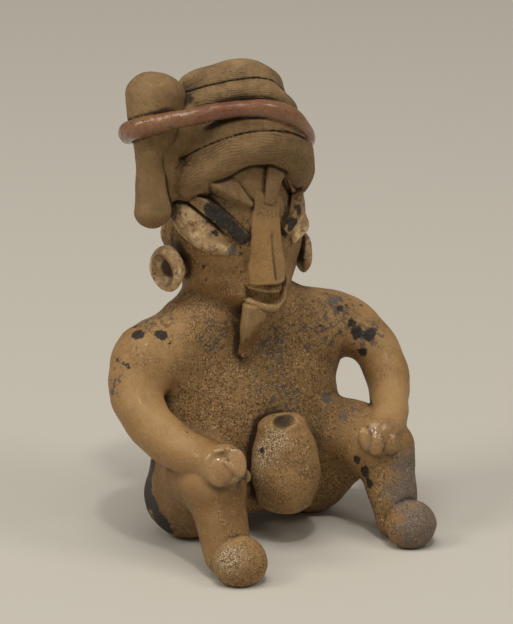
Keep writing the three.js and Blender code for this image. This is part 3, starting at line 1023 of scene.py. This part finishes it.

# %% [markdown]
# ## Fired clay
#
# One material covers the whole figure, as one firing did. Its base is a tan slip over browner
# clay, mottled by noise at four sizes: clouds as wide as a finger, blotches as wide as a match,
# specks like ground pepper and a finer grain. The numbers on the mesh then say where the turban's
# grey-brown, the cord's red, the cream, the soot, and the painted shade with the dirt in the creases
# go. Noise on Object coordinates stays fixed to the clay from every side.

# %% Colours of the clay, as red, green and blue in linear light
COLOURS = {
    "tan": (0.415, 0.240, 0.094),
    "tan_deep": (0.28, 0.145, 0.045),
    "ruddy": (0.170, 0.082, 0.020),
    "brown": (0.225, 0.130, 0.044),
    "brown_deep": (0.075, 0.042, 0.014),
    "pale": (0.62, 0.43, 0.22),
    "cloth": (0.26, 0.158, 0.067),
    "cloth_dark": (0.095, 0.054, 0.020),
    "cloth_tan": (0.44, 0.275, 0.125),
    "red": (0.175, 0.050, 0.020),
    "red_worn": (0.25, 0.112, 0.038),
    "cream": (0.71, 0.505, 0.265),
    "cream_tan": (0.40, 0.25, 0.125),
    "cream_dirt": (0.17, 0.095, 0.038),
    "soot": (0.008, 0.008, 0.0065),
    "soot_worn": (0.052, 0.042, 0.030),
    "grey": (0.12, 0.105, 0.085),
    "fleck": (0.06, 0.056, 0.056),
    "smoke": (0.155, 0.115, 0.088),
    "smoke_light": (0.33, 0.27, 0.22),
    "crust": (0.62, 0.46, 0.27),
    # A near-black brown for the dirt on the cord, and for the painted shade with dirt in the creases and
    # pits.
    "dirt_and_shade": (0.040, 0.021, 0.009),
}


# %% The material
STREAK_EVERY = 0.8  # millimetres between the fine dark streaks along the rolls
def build_clay(material):
    tree = material.node_tree
    tree.nodes.clear()
    do = lambda *a, **k: math_node(tree, *a, **k)
    times = lambda a, b: do("MULTIPLY", a, b)
    place = tree.nodes.new("ShaderNodeTexCoord").outputs["Object"]

    def number(name):
        node = tree.nodes.new("ShaderNodeAttribute")
        node.attribute_name = name
        return node.outputs["Fac"]

    def noise(size_mm, detail=3.0, roughness=0.55, distortion=0.0, at=place):
        node = tree.nodes.new("ShaderNodeTexNoise")
        for name, value in (("Vector", at), ("Scale", 1 / (size_mm * MM)), ("Detail", detail),
                            ("Roughness", roughness), ("Distortion", distortion)):
            put(tree, node.inputs[name], value)
        return node.outputs["Fac"]

    def step(value, low, high):
        node = tree.nodes.new("ShaderNodeMapRange")
        node.interpolation_type = "SMOOTHSTEP"
        put(tree, node.inputs["Value"], value)
        node.inputs["From Min"].default_value, node.inputs["From Max"].default_value = low, high
        return node.outputs["Result"]

    def mix(below, above, amount):
        node = tree.nodes.new("ShaderNodeMix")
        node.data_type = "RGBA"
        put(tree, node.inputs["Factor"], amount)
        for socket, colour in ((node.inputs[6], below), (node.inputs[7], above)):
            put(tree, socket, (*COLOURS[colour], 1) if isinstance(colour, str) else colour)
        return node.outputs[2]

    def about(value, middle=0.5):
        return do("SUBTRACT", value, middle)

    def total(first, second, third=None, clamp=False):
        """Adds two or three terms. A pair is a term with its weight."""
        first, second, third = (times(*v) if isinstance(v, tuple) else v for v in (first, second, third))
        return do("ADD", first, second if third is None else do("ADD", second, third), clamp=clamp)

    clouds, blotches = noise(15, 4, 0.6), noise(3.4, 6, 0.68)
    specks, fine = noise(1.0, 5, 0.75), noise(0.42, 3, 0.7)
    burnish, cord, palm = number("burnish"), number("cord"), number("palm")
    worn = do("SUBTRACT", 1.0, burnish)

    # Slip, from burnished tan on the arms to worn and speckled brown on the trunk.
    smooth = mix("tan", "tan_deep", total((about(clouds, 0.41), 3.2), (about(specks), 2.2), clamp=True))
    rough = mix("brown", "brown_deep", step(total((specks, 0.8), (blotches, 0.35)), 0.52, 0.64))
    rough = mix(rough, "tan", step(total((fine, 0.8), (blotches, 0.3)), 0.53, 0.64))
    wear = total(worn, (about(blotches), 1.5), (about(clouds), 1.1))
    smooth = mix(smooth, "ruddy", times(number("ruddy"), total(0.62, (about(clouds), 1.5), clamp=True)))
    colour = mix(smooth, rough, step(wear, 0.12, 0.85))
    lights = step(total((noise(0.9, 3, 0.7), 0.8), (fine, 0.3)), 0.61, 0.69)
    lights = times(lights, step(blotches, 0.4, 0.62))
    colour = mix(colour, "pale", times(lights, total(0.1, (worn, 0.85))))
    pores = step(total((specks, 0.5), (fine, 0.6)), 0.46, 0.38)
    colour = mix(colour, "brown_deep", times(pores, total(0.4, (worn, 0.6))))

    # Sand stuck on the barrel and the right foot.
    crust = step(total(number("crust"), (about(specks), 3.4)), 0.12, 0.5)
    colour = mix(colour, mix("crust", "brown_deep", step(fine, 0.44, 0.54)), times(crust, 0.85))

    # The turban's matt clay, darker between the comb marks, and the rubbed red cord.
    comb = do("SINE", total((number("comb_path"), 2 * math.pi / STREAK_EVERY), (noise(17, 3, 0.5), 55.0)))
    mottling = total((about(blotches, 0.42), 2.4), (about(specks), 2.2), clamp=True)
    weave = mix("cloth", "cloth_dark", mottling)
    streaks = times(step(comb, 0.2, 1.0), times(number("combed"), step(noise(5, 4, 0.6), 0.36, 0.56)))
    weave = mix(weave, "cloth_dark", times(streaks, 0.55))
    weave = mix(weave, "cloth_tan", times(step(total((clouds, 0.6), (blotches, 0.4)), 0.5, 0.6), 0.45))
    uncombed = do("SUBTRACT", 1.0, number("combed"))
    weave = mix(weave, "brown", times(uncombed, times(step(blotches, 0.45, 0.6), 0.6)))
    weave = mix(weave, "pale", times(step(total((specks, 0.5), (fine, 0.5)), 0.56, 0.66), 0.3))
    colour = mix(colour, weave, number("cloth"))
    rubbed = mix("red", "red_worn", step(total((blotches, 0.6), (clouds, 0.5)), 0.42, 0.62))
    rubbed = mix(rubbed, "dirt_and_shade", times(step(total((specks, 0.5), (blotches, 0.5)), 0.52, 0.62), 0.75))
    colour = mix(colour, rubbed, cord)

    # Cream slip, tan and dirty in blotches.
    cream = step(total(number("cream"), (about(blotches), 1.1)), 0.3, 0.6)
    slip = mix("cream", "cream_tan", step(total((noise(6, 4, 0.6), 0.8), (blotches, 0.3)), 0.46, 0.6))
    slip = mix(slip, "cream_dirt", step(total((blotches, 0.5), (specks, 0.65)), 0.58, 0.68))
    colour = mix(colour, slip, cream)

    # Smoke of the firing, edges worn pale, flecks of black paint, grey spots and soot.
    smoke = step(total(number("smoke"), (about(blotches), 1.5)), -0.1, 0.5)
    ash = mix("smoke", "brown_deep", times(step(total((blotches, 0.5), (specks, 0.5)), 0.5, 0.6), 0.7))
    ash = mix(ash, "smoke_light", step(total((specks, 0.5), (fine, 0.6)), 0.57, 0.66))
    colour = mix(colour, ash, times(smoke, 0.9))
    worn_edge = times(step(total(number("ridge"), (about(specks), 0.3)), 0.1, 0.4), 0.3)
    colour = mix(colour, "pale", times(worn_edge, do("SUBTRACT", 1.0, number("cloth"))))
    flecks = total((number("flecks"), 0.12), (noise(1.7, 5, 0.75), 0.8), (blotches, 0.4))
    flecks = times(step(flecks, 0.675, 0.75), times(step(number("flecks"), -0.3, 0.5), 0.75))
    colour = mix(colour, "fleck", flecks)
    grey = step(total(number("grey_spot"), (about(specks), 3.0)), 0.5, 1.1)
    colour = mix(colour, "grey", times(grey, 0.9))
    ragged = total((about(noise(2.2, 6, 0.8)), 4.0), (about(fine), 1.2))
    soot = step(total(number("soot"), ragged), 0.45, 0.7)
    colour = mix(colour, mix("soot", "soot_worn", step(specks, 0.5, 0.62)), times(soot, 0.95))

    # Painted shade in the creases and pits, with the dirt that has settled there: the more clay round a
    # point, the darker it is painted.
    hollow_shade = total(number("hollow_shade"), (about(specks), 0.25))
    colour = mix(colour, "dirt_and_shade", times(step(hollow_shade, 0.18, 0.62), 0.9))
    pit = total(0.35, (fine, 0.5), (specks, 0.9), clamp=True)
    colour = mix(colour, "dirt_and_shade", times(number("pit"), pit))

    shader = tree.nodes.new("ShaderNodeBsdfPrincipled")
    put(tree, shader.inputs["Base Color"], colour)
    gloss = total((burnish, 0.24), (cord, 0.46), (palm, 0.26))
    roughness = total(do("SUBTRACT", 0.78, gloss), (about(specks), 0.5), clamp=True)
    put(tree, shader.inputs["Roughness"], roughness)
    shader.inputs["Specular IOR Level"].default_value = 0.36
    put(tree, shader.inputs["Coat Weight"], total(total((cord, 0.8), (palm, 0.6)), (burnish, 0.08)))
    shader.inputs["Coat Roughness"].default_value = 0.15
    bump = tree.nodes.new("ShaderNodeBump")
    bump.inputs["Strength"].default_value = 0.8
    bump.inputs["Distance"].default_value = 0.4 * MM
    put(tree, bump.inputs["Height"], total((streaks, -0.45), (specks, 0.9), (fine, 0.6)))
    put(tree, shader.inputs["Normal"], bump.outputs["Normal"])
    output = tree.nodes.new("ShaderNodeOutputMaterial")
    tree.links.new(shader.outputs[0], output.inputs["Surface"])


build_clay(fired_clay)
print(len(fired_clay.node_tree.nodes), "nodes in the clay")

# %% The figure stands for the solid
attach(figure, "root")
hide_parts("seated_figure")

# %% [markdown]
# ## Floor, light and camera
#
# The figure sits on a pale seamless sheet under soft light: a large lamp almost overhead, a small
# one near it for the glints, one from each side and an even sky. The camera looks down a little
# with a long lens, which keeps the proportions true.

# %% Floor
floor_mesh = bpy.data.meshes.new("floor")
FLOOR = 6.0
SHEET = [(-FLOOR, -FLOOR, 0), (FLOOR, -FLOOR, 0), (FLOOR, FLOOR, 0), (-FLOOR, FLOOR, 0)]
floor_mesh.from_pydata(SHEET, [], [(0, 1, 2, 3)])
floor = bpy.data.objects.new("floor", floor_mesh)
bpy.context.scene.collection.objects.link(floor)
paper = bpy.data.materials.new("pale_paper")
paper.use_nodes = True
paper.node_tree.nodes["Principled BSDF"].inputs["Base Color"].default_value = (0.56, 0.525, 0.455, 1)
paper.node_tree.nodes["Principled BSDF"].inputs["Roughness"].default_value = 0.9
floor_mesh.materials.append(paper)

# %% Camera
VIEW_AZIMUTH, VIEW_ELEVATION = -32, 17
VIEW_DISTANCE = 1.0
LOOK_AT = Vector((-1.0037, 6.5641, 64.4)) * MM
SENSOR_WIDTH = 36
FOCAL_LENGTH, PICTURE_HEIGHT = 3500, 624  # both in pixels


def aimed(name, data, azimuth, elevation, distance):
    """A camera or lamp at these angles from the figure, in degrees, that looks at it."""
    a, e = math.radians(azimuth), math.radians(elevation)
    out = Vector((math.sin(a) * math.cos(e), -math.cos(a) * math.cos(e), math.sin(e)))
    obj = bpy.data.objects.new(name, data)
    bpy.context.scene.collection.objects.link(obj)
    obj.location = LOOK_AT + out * distance
    obj.rotation_euler = out.to_track_quat("Z", "Y").to_euler()
    return obj


camera = aimed("camera", bpy.data.cameras.new("camera"), VIEW_AZIMUTH, VIEW_ELEVATION, VIEW_DISTANCE)
bpy.context.scene.camera = camera
camera.data.sensor_width = SENSOR_WIDTH
camera.data.lens = FOCAL_LENGTH / PICTURE_HEIGHT * SENSOR_WIDTH
camera.data.clip_start = 0.05

# %% Lamps
LAMP_DISTANCE = 2.2
WARM, WARMER = (1.0, 0.975, 0.93), (1.0, 0.97, 0.92)


def lamp(name, beside_view, elevation, size, power, colour):
    """A square lamp, a number of degrees beside the camera."""
    light = bpy.data.lights.new(name, "AREA")
    light.size, light.energy, light.color = size, power, colour
    aimed(name, light, VIEW_AZIMUTH + beside_view, elevation, LAMP_DISTANCE)


lamp("overhead", -20, 76, 1.3, 20.5, WARM)
lamp("spark", 8, 62, 0.15, 9.0, WARM)
lamp("left", -68, 42, 0.7, 13.0, WARMER)
lamp("right", 65, 45, 0.7, 8.5, WARMER)
sky = bpy.data.worlds.new("sky")
sky.use_nodes = True
sky.node_tree.nodes["Background"].inputs["Color"].default_value = (*WARMER, 1)
sky.node_tree.nodes["Background"].inputs["Strength"].default_value = 0.19
bpy.context.scene.world = sky
bpy.context.scene.view_settings.view_transform = "Standard"
